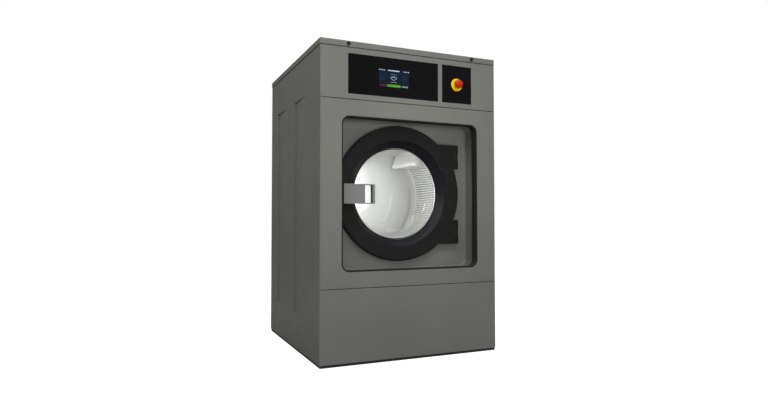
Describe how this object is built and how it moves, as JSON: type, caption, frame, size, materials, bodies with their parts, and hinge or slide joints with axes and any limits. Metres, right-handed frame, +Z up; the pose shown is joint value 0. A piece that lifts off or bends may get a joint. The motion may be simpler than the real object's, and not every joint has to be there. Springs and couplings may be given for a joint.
{
  "type": "industrial washing machine",
  "caption": "Front-loading industrial washing machine with a sprung tub, belt-driven drum, glass-bowl door in a recess, touch display and emergency stop.",
  "frame": {"origin": "on the floor at the centre of the four anchor holes, under the middle of the cabinet", "axes": "+Z up, -Y out of the front, +X to the right seen from the front"},
  "size_m": [0.884, 0.9755, 1.404],
  "materials": {
    "grey_paint": "satin powder coat",
    "dark_frame": "satin paint",
    "black_steel": "satin paint",
    "galvanised": "dull zinc coat",
    "stainless": "brushed",
    "bearing_steel": "ground",
    "chromed": "polished",
    "cast_iron": "as cast, turned rims",
    "cast_aluminium": "as cast",
    "brass": "turned",
    "black_plastic": "fine satin",
    "dark_gloss": "glossy",
    "white_plastic": "moulded",
    "handle_grey": "fine matt coat",
    "red_plastic": "glossy",
    "yellow_plastic": "glossy",
    "display": "glossy",
    "black_glass": "back painted, glossy",
    "door_glass": "clear",
    "black_rubber": "matt"
  },
  "bodies": {
    "cabinet": {"base_frame": "dark_frame", "corner_posts": "galvanised", "left_side_panel": "grey_paint", "right_side_panel": "grey_paint", "rear_panel": "galvanised", "rear_access_cover": "galvanised", "top_lid": "grey_paint", "lid_caps": "black_plastic", "control_fascia": "grey_paint", "control_glass": "black_glass", "display_module": "display", "controller_box": "black_plastic", "estop_plate": "black_glass", "estop_collar": "yellow_plastic", "estop_contact_block": "black_plastic", "front_panel": "grey_paint", "opening_seal": "black_rubber", "lower_front_panel": "grey_paint", "inverter_drive": "cast_aluminium", "cold_water_valve": "brass", "hot_water_valve": "brass", "fill_pipe": "white_plastic", "dosing_manifold": "white_plastic", "cable_gland": "black_plastic", "drain_valve": "white_plastic", "drain_hose": "black_rubber", "suspension_springs": "black_rubber", "damper_cylinders": "black_steel"},
    "wash_group": {"tub_shell": "stainless", "tub_front_plate": "stainless", "door_surround": "grey_paint", "mouth_gasket": "black_rubber", "tub_cradle": "black_steel", "damper_rods": "chromed", "bearing_housing": "cast_iron", "shaft_bearings": "bearing_steel", "shaft_seal": "black_rubber", "heating_elements": "stainless", "motor_body": "cast_aluminium", "motor_bracket": "black_steel", "drive_belt": "black_rubber", "hinge_knuckles": "black_steel", "hinge_pins": "bearing_steel", "lock_keeper": "black_plastic"},
    "drum": {"drum_shell": "stainless", "drum_back": "stainless", "drum_lifters": "stainless", "drum_spider": "cast_aluminium", "drum_shaft": "bearing_steel", "drum_pulley": "cast_iron"},
    "motor_rotor": {"motor_shaft": "bearing_steel", "motor_pulley": "cast_iron"},
    "door": {"door_ring": "black_plastic", "door_inner_ring": "dark_gloss", "door_glass": "door_glass", "handle_pin": "bearing_steel"},
    "handle": {"door_handle": "handle_grey"},
    "stop_stem": {"estop_stem": "black_plastic"},
    "stop_head": {"estop_head": "red_plastic"}
  },
  "joints": [
    {"name": "suspension", "type": "slide", "parent": "cabinet", "child": "wash_group", "axis": [0, 0, 1], "range_m": [-0.012, 0.008], "stiffness_N_per_m": 100000, "springref_m": 0.0217, "deforming": ["suspension_springs", "drain_hose"]},
    {"name": "drum_spin", "type": "hinge", "parent": "wash_group", "child": "drum", "pos_m": [-0.02, 0, 0.748], "axis": [0, 1, 0], "continuous": true},
    {"name": "motor_spin", "type": "hinge", "parent": "wash_group", "child": "motor_rotor", "pos_m": [0.31885, 0, 1.10884], "axis": [0, 1, 0], "continuous": true},
    {"name": "door_swing", "type": "hinge", "parent": "wash_group", "child": "door", "pos_m": [0.28, -0.35, 0.748], "axis": [0, 0, 1], "range_deg": [0, 110]},
    {"name": "handle_pull", "type": "hinge", "parent": "door", "child": "handle", "pos_m": [-0.29, -0.378, 0.74], "axis": [0, 0, -1], "range_deg": [0, 25], "stiffness_Nm_per_rad": 2, "springref_deg": -11.46},
    {"name": "stop_push", "type": "slide", "parent": "cabinet", "child": "stop_stem", "axis": [0, 1, 0], "range_m": [0, 0.005], "stiffness_N_per_m": 2000, "springref_m": -0.003},
    {"name": "stop_twist", "type": "hinge", "parent": "stop_stem", "child": "stop_head", "pos_m": [0.231, -0.477, 1.26075], "axis": [0, 1, 0], "range_deg": [0, 30], "stiffness_Nm_per_rad": 0.2, "springref_deg": -5.73}
  ],
  "couplings": [
    {"joint": "motor_spin", "follows": "drum_spin", "ratio": 4.4444}
  ]
}
